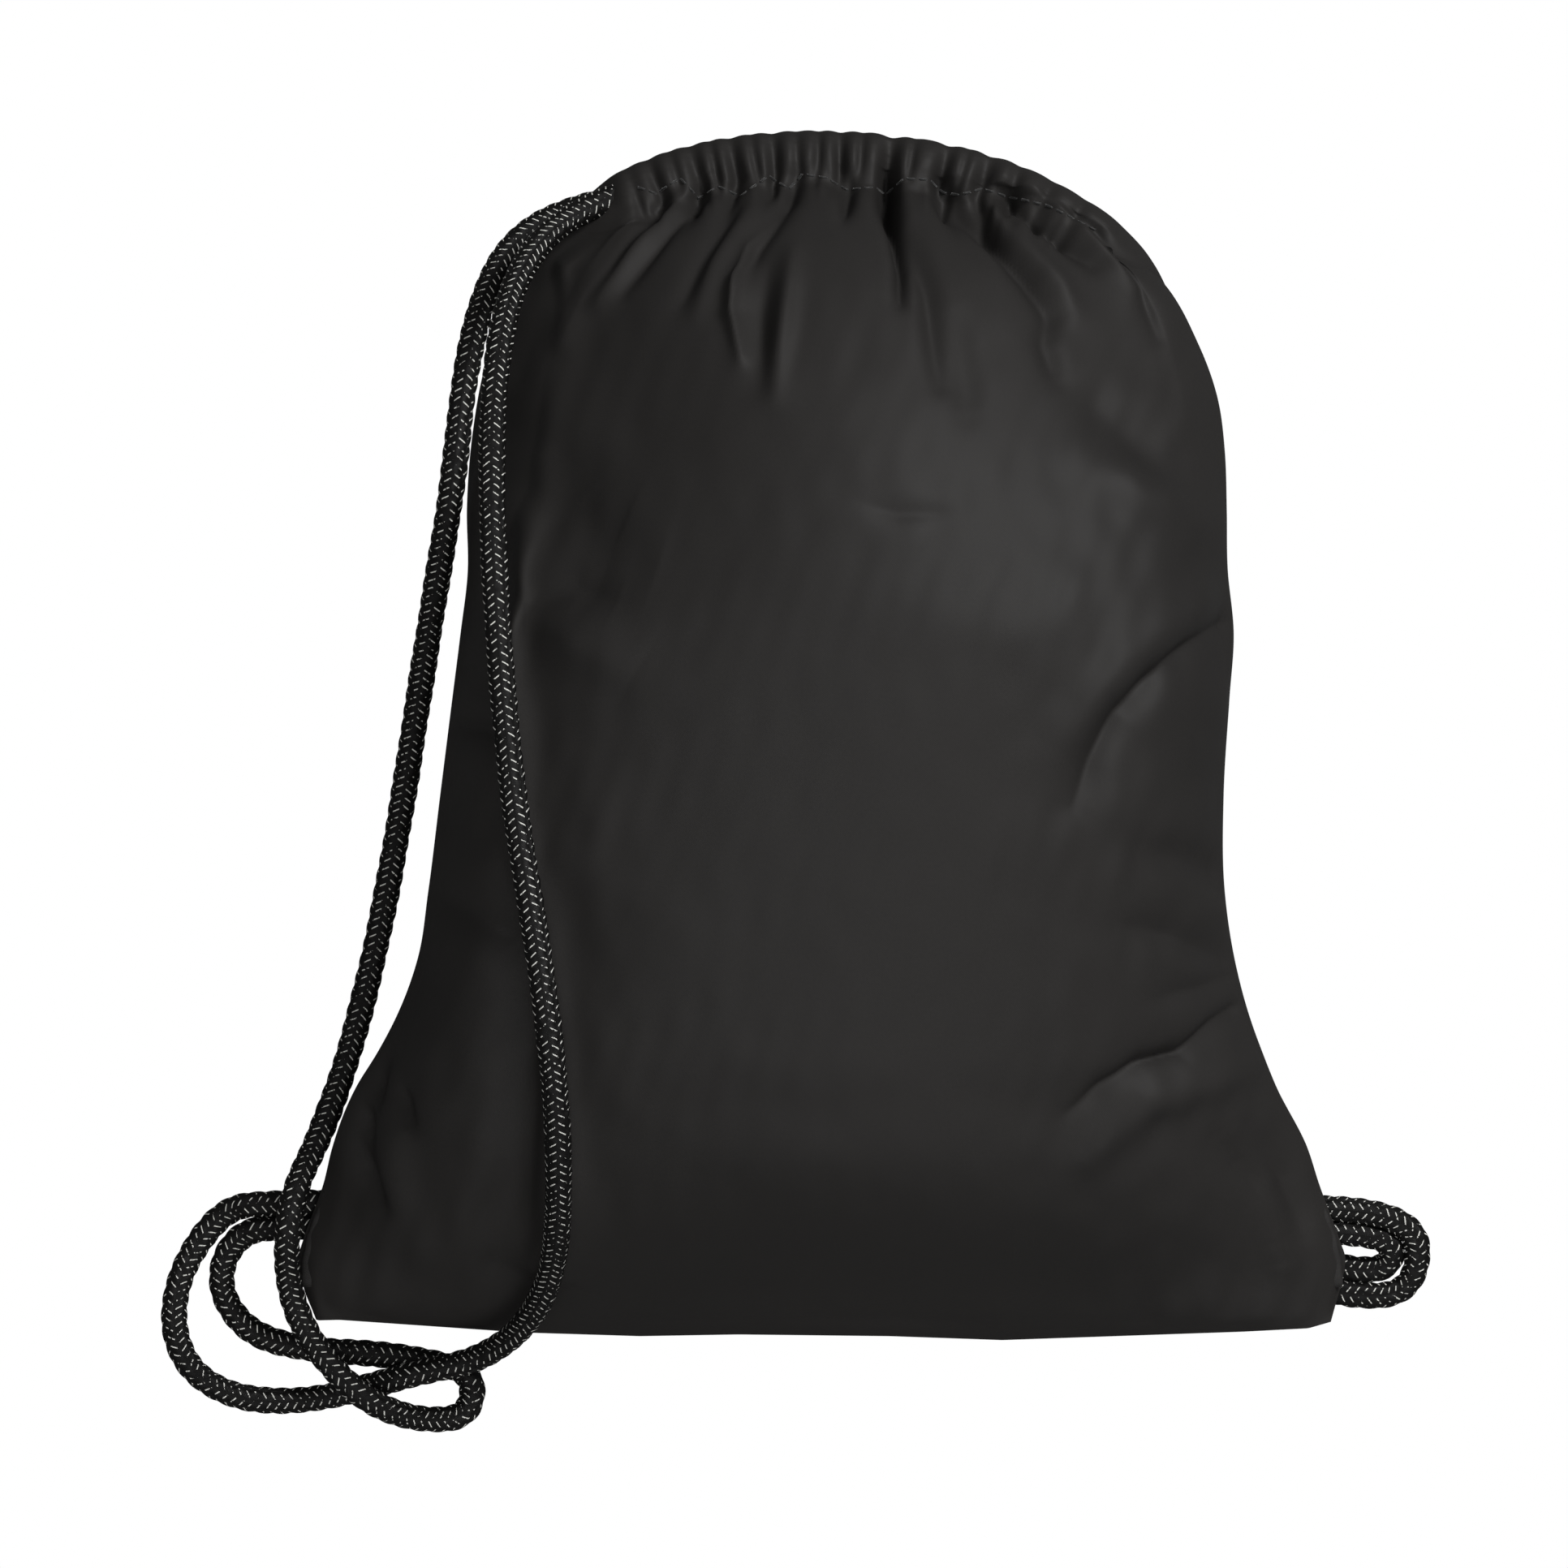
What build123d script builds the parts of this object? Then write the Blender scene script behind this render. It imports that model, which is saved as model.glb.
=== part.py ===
from build123d import *
import os
from math import cos, pi, radians, sin, tan

# Drawstring backpack lying on its back, loosely filled, mouth drawn in. Millimetres and degrees.
# X runs across the bag, +Y points from its bottom edge to its mouth, +Z up from the surface it lies on.

# ---- Fabric ----
WALL = 1.5            # thickness that stands for the doubled, crumpled fabric of each panel

# The filled bag's outline and depth at stations along its length: y, left edge x, right edge x, top z,
# underside z, side seam z, and the share of the width in which each side turns up from its seam,
# large where the bag thins out into flat corners. An underside below 0 is pressed flat.
STATIONS = [
    (-212, -176, 178, 19, 9, 12, 0.16),
    (-200, -182, 184, 46, 9.5, 12.5, 0.24),
    (-180, -183, 184, 73, 9, 16.3, 0.24),
    (-150, -175, 173, 98, 3, 22, 0.20),
    (-120, -162, 159, 115, -6, 33, 0.14),
    (-90, -147, 148, 126, -12, 43, 0.08),
    (-50, -138, 142, 134, -12, 50, 0.03),
    (5, -131, 142, 138, -12, 53, 0.03),
    (60, -125, 143, 134, -12, 52, 0.03),
    (100, -123, 140, 125, -10, 48, 0.03),
    (135, -119, 131, 109, -6, 42, 0.03),
    (160, -106, 120, 90, -1, 36, 0.03),
    (180, -91, 105, 68, 5, 29, 0.03),
    (200, -65, 67, 50, 9, 23, 0.03),
]
LIFT_SPAN = 0.55      # the underside's right part rises over this share, clear of the cord laid under it
DOME = 4 / 3          # control-point height that gives a cubic arch its full height

# ---- Mouth: an arch drawn together by the cords ----
ARCH_X, ARCH_Y = 0.5, 26.4        # centre of the arch's circle
ARCH_OUT = 185.6                  # outer radius of the hem
HEM_WIDE, HEM_THICK = 19.0, 11.0  # a gathered hem round two cords lying side by side
HEM_WALL = 1.0
MOUTH_GAP = 6.0
BACK_HEM_Z = 14.5                 # mid-height of the back hem
FRONT_HEM_Z = BACK_HEM_Z + HEM_THICK + MOUTH_GAP
LEFT_END, RIGHT_END = -23.7, 34.0  # bearings of the mouth's two ends, clockwise from +Y
END_ROOM = 0.9                    # the front hem stops this much short, so that it can swing
NOTCH = 9.3                       # the shoulders start this far past the mouth's ends
FRONT_CLEAR = 6.6                 # room behind the front hem for its swing
BACK_CLEAR = 0.2
NOTCH_WALL = 0.5      # degrees of the arch that the shoulders' end walls take up
SLIT_SHORT = 3.0      # the gap between the hems starts this far inside the mouth's ends
SEAM_PART = 0.4       # the panels part this far above the outline's edge

# ---- Cords ----
CORD = 8.0            # braided cord, as a round section
LANE = 4.2            # half the distance between the two cords in a hem
ARC_SHARE = 0.45      # part of the shorter run that each bend takes up
TAIL_LONG = 14.0      # cord end sewn into the side seam

# ---- Corner tabs ----
TAB_LOW, TAB_HIGH = -196.0, -162.0  # a tab's span along the side seam
TAB_OUT, TAB_IN = 187.0, 175.0      # and across it
TAB_THICK = 2.4

ARCH_AXIS = Axis((ARCH_X, ARCH_Y, 0), (0, 0, 1))
HEM_MID = ARCH_OUT - HEM_WIDE / 2
BEYOND_ARCH = ARCH_OUT + 60
FAR = 400.0           # larger than the bag

# Where each cord end goes into the side seam: x of the outer end, y, z.
LEFT_TAILS = [(-188, -166, 13.2), (-188, -174.5, 11.6)]
RIGHT_TAILS = [(188, -168, 12.9), (188, -176.5, 11.2)]


def arch_point(bearing, radius, z):
    """Point on a circle about the arch's centre."""
    return (ARCH_X + radius * sin(radians(bearing)), ARCH_Y + radius * cos(radians(bearing)), z)


def hem_plane(bearing):
    """Upright plane through the arch's centre: local x outwards along the bearing, local y up."""
    out = (sin(radians(bearing)), cos(radians(bearing)), 0)
    across = (cos(radians(bearing)), -sin(radians(bearing)), 0)
    return Plane(origin=(ARCH_X, ARCH_Y, 0), x_dir=out, z_dir=across)


def pillow(inset):
    """The filled bag as one closed body, drawn in by inset on every side and flat where it lies."""
    with BuildPart() as body:
        for y, left, right, top, low, seam, turn_up in STATIONS:
            wide = right - left - 2 * inset
            start = (left + inset, seam)
            end = (right - inset, seam)
            round_in = turn_up * wide
            crest = seam + DOME * (top - inset - seam)
            trough = seam - DOME * (seam - low - inset)
            place = min(max(y, STATIONS[0][0] + inset), STATIONS[-1][0] - inset)
            with BuildSketch(Plane(origin=(0, place, 0), x_dir=(1, 0, 0), z_dir=(0, -1, 0))):
                with BuildLine():
                    Bezier(start, (start[0] + round_in, crest), (end[0] - round_in, crest), end)
                    Bezier(end, (end[0] - LIFT_SPAN * wide, trough), (start[0] + round_in, trough), start)
                make_face()
        loft()
        split(bisect_by=Plane.XY.offset(inset), keep=Keep.TOP)
    return body.part


def above_seam(raise_by=0.0):
    """Everything above the side seam's height, which changes along the bag."""
    line = [(y, seam + raise_by) for y, _, _, _, _, seam, _ in STATIONS]
    first, last = line[0], line[-1]
    with BuildPart() as upper:
        with BuildSketch(Plane.YZ.offset(-FAR)):
            with BuildLine():
                Polyline((first[0], first[1]), (-FAR, first[1]), (-FAR, FAR), (FAR, FAR), (FAR, last[1]), last)
                Spline(*line)
            make_face()
        extrude(amount=2 * FAR)
    return upper.part


def mouth_sector(radius, widen):
    """The ring sector outside a radius, over the mouth and the notches beside it."""
    start = 90 - RIGHT_END - NOTCH - widen
    sweep_angle = RIGHT_END - LEFT_END + 2 * (NOTCH + widen)
    with BuildPart() as sector:
        with BuildSketch():
            with BuildLine():
                near = CenterArc((ARCH_X, ARCH_Y), radius, start, sweep_angle)
                far = CenterArc((ARCH_X, ARCH_Y), BEYOND_ARCH, start, sweep_angle)
                Line(near @ 0, far @ 0)
                Line(near @ 1, far @ 1)
            make_face()
        extrude(amount=FAR)
    return sector.part


def mouth_slit():
    """The gap between the two hems, cut through the walls behind them."""
    with BuildPart() as slit:
        with BuildSketch(Plane.XY.offset(BACK_HEM_Z + HEM_THICK / 2)):
            with BuildLine():
                start = 90 - RIGHT_END + SLIT_SHORT
                sweep_angle = RIGHT_END - LEFT_END - 2 * SLIT_SHORT
                near = CenterArc((ARCH_X, ARCH_Y), HEM_MID - HEM_WIDE, start, sweep_angle)
                far = CenterArc((ARCH_X, ARCH_Y), BEYOND_ARCH, start, sweep_angle)
                Line(near @ 0, far @ 0)
                Line(near @ 1, far @ 1)
            make_face()
        extrude(amount=MOUTH_GAP)
    return slit.part


def hem_tunnel(z, left, right):
    """Gathered hem folded round the two cords, open at both ends."""
    with BuildPart() as tunnel:
        with BuildSketch(hem_plane(right)):
            with Locations((HEM_MID, z)):
                SlotOverall(HEM_WIDE, HEM_THICK)
            with Locations((HEM_MID - HEM_WIDE / 4, z)):
                Rectangle(HEM_WIDE / 2, HEM_THICK)
            with Locations((HEM_MID, z)):
                SlotOverall(HEM_WIDE - 2 * HEM_WALL, HEM_THICK - 2 * HEM_WALL, mode=Mode.SUBTRACT)
        revolve(axis=ARCH_AXIS, revolution_arc=right - left)
    return tunnel.part


def cord_in_hem(lane, z, left, right):
    """The length of cord that lies in a hem."""
    with BuildPart() as run:
        with BuildSketch(hem_plane(right)):
            with Locations((HEM_MID + lane, z)):
                Circle(CORD / 2)
        revolve(axis=ARCH_AXIS, revolution_arc=right - left)
    return run.part


def cord_turn(lane, bearing, turn):
    """The cord's half turn from one hem into the other, at the far end of the mouth."""
    plane = hem_plane(bearing)
    middle = arch_point(bearing, HEM_MID + lane, (FRONT_HEM_Z + BACK_HEM_Z) / 2)
    with BuildPart() as half:
        with BuildSketch(plane):
            with Locations((HEM_MID + lane, FRONT_HEM_Z)):
                Circle(CORD / 2)
        revolve(axis=Axis(middle, plane.x_dir), revolution_arc=turn)
    return half.part


def cord_tube(route):
    """Cord laid along a route: straight runs joined by arcs as large as the runs allow."""
    points = [Vector(*p) for p in route]
    runs = [b - a for a, b in zip(points, points[1:])]
    radii = []
    for before, after in zip(runs, runs[1:]):
        turn = radians(before.get_angle(after))
        shorter = min(before.length, after.length)
        radii.append(ARC_SHARE * shorter / tan(turn / 2))
    with BuildPart() as tube:
        with BuildLine() as path:
            FilletPolyline(*points, radius=radii)
        with BuildSketch(Plane(origin=path.line @ 0, z_dir=path.line % 0)):
            Circle(CORD / 2)
        sweep(path=path.line)
    length = sum(edge.length for edge in path.edges())
    full = pi * (CORD / 2) ** 2 * length
    print("cord length", round(length, 1), "volume ratio", round(tube.part.volume / full, 4))
    print("  runs", [round(r.length) for r in runs])
    print("  radii", [round(r) for r in radii])
    return tube.part


def cord_tails(ends, inward):
    """The two cord ends caught in a side seam, reaching into the bag."""
    with BuildPart() as tails:
        for x, y, z in ends:
            with BuildSketch(Plane(origin=(x, y, z), z_dir=(inward, 0, 0))):
                Circle(CORD / 2)
        extrude(amount=TAIL_LONG)
    return tails.part


def corner_tab(side):
    """Folded fabric tab sewn into a side seam just above the bottom corner."""
    heights = [(y, seam) for y, _, _, _, _, seam, _ in STATIONS]
    (y_low, z_low), (y_high, z_high) = heights[1], heights[3]
    slope = (z_high - z_low) / (y_high - y_low)
    low = z_low + slope * (TAB_LOW - y_low)
    high = z_low + slope * (TAB_HIGH - y_low)
    half = TAB_THICK / 2
    with BuildPart() as tab:
        with BuildSketch(Plane.YZ.offset(side * TAB_IN)):
            with BuildLine():
                Polyline((TAB_LOW, low - half), (TAB_HIGH, high - half), (TAB_HIGH, high + half),
                         (TAB_LOW, low + half), close=True)
            make_face()
        extrude(amount=side * (TAB_OUT - TAB_IN))
    return tab.part


def largest(part):
    """The part without the crumbs that the sewn-in pieces leave along the seam."""
    return max(part.solids(), key=lambda solid: solid.volume)


# ---- Routes of the four loose strands, from the mouth's end to the bottom corner ----
LEFT_FRONT_START = arch_point(LEFT_END, HEM_MID + LANE, FRONT_HEM_Z)
LEFT_BACK_START = arch_point(LEFT_END, HEM_MID + LANE, BACK_HEM_Z)
RIGHT_FRONT_START = arch_point(RIGHT_END, HEM_MID - LANE, FRONT_HEM_Z)
RIGHT_BACK_START = arch_point(RIGHT_END, HEM_MID - LANE, BACK_HEM_Z)

# Inner left strand: over the left shoulder, down the front of the bag, over the bottom edge,
# round the outside of the loose pile and back to the corner.
LEFT_INNER = [
    LEFT_FRONT_START,
    (-88, 184.5, 42),
    (-102, 171, 62),
    (-111, 150, 82),
    (-115, 117, 98),
    (-115, 80, 109),
    (-113, 42, 115),
    (-110, 5, 117),
    (-106, -30, 119),
    (-100, -65, 119),
    (-95, -100, 115),
    (-92, -135, 105),
    (-92, -165, 88),
    (-95, -190, 66),
    (-105, -209, 42),
    (-121, -221, 22),
    (-137, -225, 15.5),
    (-150, -228, 14),
    (-162, -232, 5),
    (-178, -236, 4),
    (-195, -237.5, 4),
    (-212, -235, 4),
    (-226, -226, 4),
    (-232, -211, 4),
    (-230, -194, 4),
    (-222, -179, 4),
    (-212, -168.5, 5),
    (-200, -166, 13.2),
    LEFT_TAILS[0],
]

# Outer left strand: round the left shoulder, down beside the bag, over the pile, through a small
# loop at its right end and back under the pile to the corner.
LEFT_OUTER = [
    LEFT_BACK_START,
    (-90, 187.5, 17),
    (-107, 178, 28),
    (-119, 159, 44),
    (-126, 127, 58),
    (-130, 88, 57),
    (-137, 50, 40),
    (-144, 10, 20),
    (-151, -32, 6),
    (-159, -75, 4),
    (-169, -115, 6),
    (-179, -143, 16),
    (-187, -160, 28),
    (-190, -177, 29),
    (-190, -194, 20),
    (-185, -210, 16),
    (-175, -224, 18),
    (-161, -237, 18),
    (-144, -244, 6),
    (-126, -243, 4),
    (-124, -227, 4),
    (-142, -222.5, 4),
    (-161, -220, 4),
    (-182, -219, 4),
    (-203, -214, 4),
    (-214, -201, 4),
    (-214.5, -188, 4),
    (-208, -178, 5),
    (-198, -174.5, 11.6),
    LEFT_TAILS[1],
]

# Right strands: hidden under the right side of the bag in loose waves, then out past the corner,
# round, and into the side seam.
RIGHT_INNER = [
    RIGHT_BACK_START,
    (106, 162.5, 12),
    (117, 149, 6),
    (125, 128, 4),
    (129, 101, 4),
    (76, 91, 4),
    (76, 49, 4),
    (133, 39, 4),
    (133, -4, 4),
    (77, -14, 4),
    (78, -57, 4),
    (131, -66, 4),
    (131, -94, 4),
    (90, -104, 4),
    (92, -149, 4),
    (130, -162, 4),
    (158, -187, 4),
    (182, -199.5, 4),
    (212, -199.5, 4),
    (212, -168, 12.9),
    RIGHT_TAILS[0],
]
RIGHT_OUTER = [
    RIGHT_FRONT_START,
    (107, 162, 29),
    (118, 149, 20),
    (126, 128, 13.5),
    (129, 101, 12.6),
    (76, 91, 12.6),
    (76, 49, 12.6),
    (133, 39, 12.6),
    (133, -4, 12.6),
    (77, -14, 12.6),
    (78, -57, 12.6),
    (137, -66, 12.6),
    (143, -84, 8),
    (141, -104, 4),
    (100, -113, 4),
    (101, -141, 4),
    (137, -153, 4),
    (163, -177, 4),
    (183, -190, 4),
    (203, -190.5, 4),
    (203, -176.5, 11.2),
    RIGHT_TAILS[1],
]

# ---- Pieces that are caught in the side seams, the tab over the cord ends ----
left_cord_tails = cord_tails(LEFT_TAILS, 1)
right_cord_tails = cord_tails(RIGHT_TAILS, -1)
left_corner_tab = corner_tab(-1)
right_corner_tab = corner_tab(1)
sewn_in = [left_cord_tails, right_cord_tails, left_corner_tab, right_corner_tab]

# ---- Panels: a thin shell round the filling, open at the mouth and parted along the side seams ----
upper = above_seam(SEAM_PART)
front_hem_back = HEM_MID - HEM_WIDE / 2 - FRONT_CLEAR
back_hem_back = HEM_MID - HEM_WIDE / 2 - BACK_CLEAR
front_hem_room = Pos(0, 0, FRONT_HEM_Z - HEM_THICK / 2) * mouth_sector(front_hem_back, 0)

with BuildPart() as front_panel:
    add(pillow(0))
    add(mouth_sector(front_hem_back, 0), mode=Mode.SUBTRACT)
    add(pillow(WALL) - mouth_sector(front_hem_back - WALL, NOTCH_WALL), mode=Mode.SUBTRACT)
    add(upper, mode=Mode.INTERSECT)
    add([mouth_slit(), *sewn_in], mode=Mode.SUBTRACT)

with BuildPart() as back_panel:
    add(pillow(0))
    add(mouth_sector(back_hem_back, 0), mode=Mode.SUBTRACT)
    add(pillow(WALL) - mouth_sector(back_hem_back - WALL, NOTCH_WALL), mode=Mode.SUBTRACT)
    add([upper, mouth_slit(), front_hem_room, *sewn_in], mode=Mode.SUBTRACT)

# ---- Every piece under its name ----
short_left = LEFT_END + END_ROOM
short_right = RIGHT_END - END_ROOM
pieces = {
    "front_panel": largest(front_panel.part),
    "back_panel": largest(back_panel.part),
    "front_hem_tunnel": hem_tunnel(FRONT_HEM_Z, short_left, short_right),
    "back_hem_tunnel": hem_tunnel(BACK_HEM_Z, LEFT_END, RIGHT_END),
    "left_corner_tab": left_corner_tab,
    "right_corner_tab": right_corner_tab,
    "left_cord_tails": left_cord_tails,
    "right_cord_tails": right_cord_tails,
    "left_cord_in_front_hem": cord_in_hem(LANE, FRONT_HEM_Z, short_left, short_right),
    "left_cord_in_back_hem": cord_in_hem(LANE, BACK_HEM_Z, LEFT_END, RIGHT_END),
    "left_cord_end_turn": cord_turn(LANE, RIGHT_END, 180),
    "right_cord_in_front_hem": cord_in_hem(-LANE, FRONT_HEM_Z, short_left, short_right),
    "right_cord_in_back_hem": cord_in_hem(-LANE, BACK_HEM_Z, LEFT_END, RIGHT_END),
    "right_cord_end_turn": cord_turn(-LANE, LEFT_END, -180),
    "left_cord_inner_strand": cord_tube(LEFT_INNER),
    "left_cord_outer_strand": cord_tube(LEFT_OUTER),
    "right_cord_inner_strand": cord_tube(RIGHT_INNER),
    "right_cord_outer_strand": cord_tube(RIGHT_OUTER),
}

os.makedirs("parts", exist_ok=True)
for name, piece in pieces.items():
    piece.label = name
    export_step(piece, "parts/" + name + ".step")
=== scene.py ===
from math import cos, pi, radians, sin

import bmesh
import bpy
import numpy as np
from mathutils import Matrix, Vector
from mathutils.bvhtree import BVHTree


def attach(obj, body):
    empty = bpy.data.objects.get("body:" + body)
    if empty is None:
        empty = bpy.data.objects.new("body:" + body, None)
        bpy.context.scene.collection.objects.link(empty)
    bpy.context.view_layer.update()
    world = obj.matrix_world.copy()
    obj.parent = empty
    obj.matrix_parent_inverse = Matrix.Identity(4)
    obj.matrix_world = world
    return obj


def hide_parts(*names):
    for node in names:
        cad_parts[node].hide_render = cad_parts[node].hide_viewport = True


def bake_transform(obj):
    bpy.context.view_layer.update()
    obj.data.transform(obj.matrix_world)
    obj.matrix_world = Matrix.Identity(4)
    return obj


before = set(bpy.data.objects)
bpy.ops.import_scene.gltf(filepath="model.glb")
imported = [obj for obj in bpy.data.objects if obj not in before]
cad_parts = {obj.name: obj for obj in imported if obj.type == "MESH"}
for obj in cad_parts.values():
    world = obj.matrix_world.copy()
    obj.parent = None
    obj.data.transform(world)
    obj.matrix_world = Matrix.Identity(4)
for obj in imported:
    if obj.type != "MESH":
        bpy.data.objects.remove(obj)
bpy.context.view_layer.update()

# Drawstring backpack lying on its back. Shapes are worked out in millimetres, in the frame's
# axes, and turned into metres when a mesh or curve is made.
MM = 0.001

# ---- Mouth: the arch that the cords draw the bag's top into ----
ARCH = np.array([0.5, 26.4])  # centre of the arch's circle
ARCH_OUT = 185.6  # its outer radius
LEFT_END, RIGHT_END = -23.7, 34.0  # bearings of the mouth's two ends, clockwise from +Y
MOUTH_END_BLEND = 1.5  # the mouth opens over this many degrees on each side of its ends
FRONT_HEM_Z, BACK_HEM_Z = 31.5, 14.5
HEM_MID, LANE = 176.1, 4.2  # radius between the two cords in a hem, and each one's distance from it
HEM_BAND = 19.0  # width of the stitched band
HEM_NARROWING = 0.52  # share of it lost where the stitch line climbs
NARROWS_FROM, NARROWS_TO = 16, 25  # bearings over which that happens

# ---- Bag: outline and depth along its length ----
# y, left edge x, right edge x, crest z, underside z, side seam z, share of the width that turns up
STATIONS = np.array([
    (-212, -180.3, 181, 34, 7, 11, 0.12),
    (-204, -185, 184.6, 42, 8, 12, 0.20),
    (-196, -186.4, 186, 50, 9, 13, 0.24),
    (-180, -184.4, 183.6, 68, 9, 16, 0.24),
    (-158, -177, 176, 89, 5, 20, 0.21),
    (-146, -174, 172, 100, 2, 23, 0.19),
    (-124, -165, 160.5, 113, -5, 32, 0.14),
    (-112, -157.5, 155.5, 119, -9, 36, 0.11),
    (-100, -151, 151, 123, -11, 40, 0.09),
    (-78, -142.7, 145, 129, -12, 46, 0.06),
    (-55, -139, 141.5, 133, -12, 50, 0.04),
    (-21, -134.7, 141, 136, -12, 52, 0.03),
    (13, -130.4, 143, 138, -12, 53, 0.03),
    (36, -127.5, 144.5, 138, -12, 53, 0.03),
    (58, -125, 142.5, 137, -12, 52, 0.03),
    (80, -125.5, 141.5, 136, -11, 50, 0.03),
    (104, -124, 139, 134, -10, 47, 0.03),
    (127, -120, 134, 131, -7, 43, 0.03),
    (150, -112, 124.5, 128, -2, 37, 0.03),
    (168, -101, 114, 126, 2, 31, 0.03),
], float)
TOP_ROW = 168.0
SECTION_STEPS = 400  # points along each cross-section before it is shared out evenly
LIFT_SPAN = 0.55  # the underside's right part rises over this share, clear of the cord under it
ROW_CROWDING = 6.0  # rows shift towards the bottom by up to this
END_ROUNDING = 60.0  # the filling rounds over to the bottom seam in this length
END_FULLNESS = 0.62  # a smaller power rounds over more fully
BOTTOM_REACH = 45.0  # the bottom seam's bow fades out over this
DRAWN_FROM = 50.0  # the sides start to draw in to the mouth here
DRAWN_POWER = 1.2
RIM_NEAR, RIM_FAR = 15, 60  # the rim's own shape counts fully up to RIM_NEAR, not at all past RIM_FAR
SHOULDER_SPREAD = 44.0  # degrees past the rim's ends over which the sides take over
DOME_POWER = 2.4  # a larger power makes a fuller front between rim and crown
# the bottom edge's y at some x: it bows a little and its corners are rounded off
BOTTOM = np.array([(-187, -199), (-184, -204), (-180, -208), (-172, -207.8), (-107, -212.3),
                   (-65, -213.6), (-30, -213), (24, -213.6), (64, -215), (110, -213.4), (150, -212),
                   (173, -210.8), (181, -208.5), (186, -200)], float)
# bearing and radius of the bag's rim from one shoulder over the mouth to the other
RIM = np.array([(-34.3, 178.5), (-28, 184), (-23.7, 187.6), (-17, 189), (-8, 188.6), (0, 188),
                (10, 188.2), (19, 189), (28, 188.2), (34, 187), (38, 184.6), (42.7, 179.2)], float)
RIM_FIRST, RIM_LAST = RIM[0, 0], RIM[-1, 0]

# Cross-sections of the hem's band, from its inner edge over the rim and back inside: share of the band
# left to the rim, and height; where the mouth is open and where the shoulders are closed.
OPEN_FRONT = [(1.0, 44), (0.86, 43), (0.72, 42.4), (0.55, 41.8), (0.38, 40.4), (0.22, 38.4), (0.1, 36),
              (0.03, 33.8), (0.0, 31.5), (0.03, 29.4), (0.1, 27.9), (0.25, 26.9), (0.5, 26.4),
              (0.85, 26.2)]
OPEN_BACK = [(1.0, 9.5), (0.86, 8.6), (0.72, 8.2), (0.55, 8.2), (0.38, 8.6), (0.22, 9.5), (0.1, 11),
             (0.03, 12.6), (0.0, 14.5), (0.03, 16.6), (0.1, 18.1), (0.25, 19.1), (0.5, 19.6),
             (0.85, 19.8)]
SHUT_FRONT = [(1.0, 46), (0.86, 44), (0.72, 42), (0.55, 39.5), (0.38, 36.5), (0.22, 33), (0.1, 30),
              (0.03, 28.4)] + [(0, 27.5)] * 6
SHUT_BACK = [(1.0, 14), (0.86, 15.5), (0.72, 17.5), (0.55, 20), (0.38, 22.5), (0.22, 24.7), (0.1, 26.3),
             (0.03, 27)] + [(0, 27.5)] * 6
RIM_PLACE = 8  # which of those places is the rim itself
ROWS_PER_PLACE = 3  # rows of the hem's grid from one place to the next

# Gathers that run in from the front hem: bearing, depth, half-width in degrees, reach, drift in
# degrees over the reach. A negative depth is a ridge.
GATHERS = [
    (-22.0, 2.0, 1.2, 22, -3),
    (-19.4, 2.8, 0.9, 22, -4),
    (-16.9, 1.7, 0.7, 16, -2),
    (-14.6, 3.2, 1.0, 24, -5),
    (-12.4, 1.9, 0.6, 16, -2),
    (-10.2, 3.2, 0.9, 26, -5),
    (-7.9, 1.5, 0.6, 14, 0),
    (-5.6, 3.4, 0.9, 24, -4),
    (-3.0, 1.7, 0.7, 14, 1),
    (-0.6, 1.9, 0.6, 16, -1),
    (1.8, 3.2, 0.8, 20, -1),
    (4.2, 1.7, 0.6, 16, 0),
    (7.4, 5.4, 1.1, 30, 1),
    (9.9, 1.7, 0.6, 14, 1),
    (13.6, 4.2, 1.0, 26, 5),
    (15.8, 1.5, 0.6, 16, 2),
    (18.2, 4.2, 1.1, 26, 6),
    (21.6, 2.3, 0.9, 20, 4),
    (25.5, 1.8, 1.0, 22, 5),
    (29.5, 1.3, 1.0, 20, 4),
]

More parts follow.
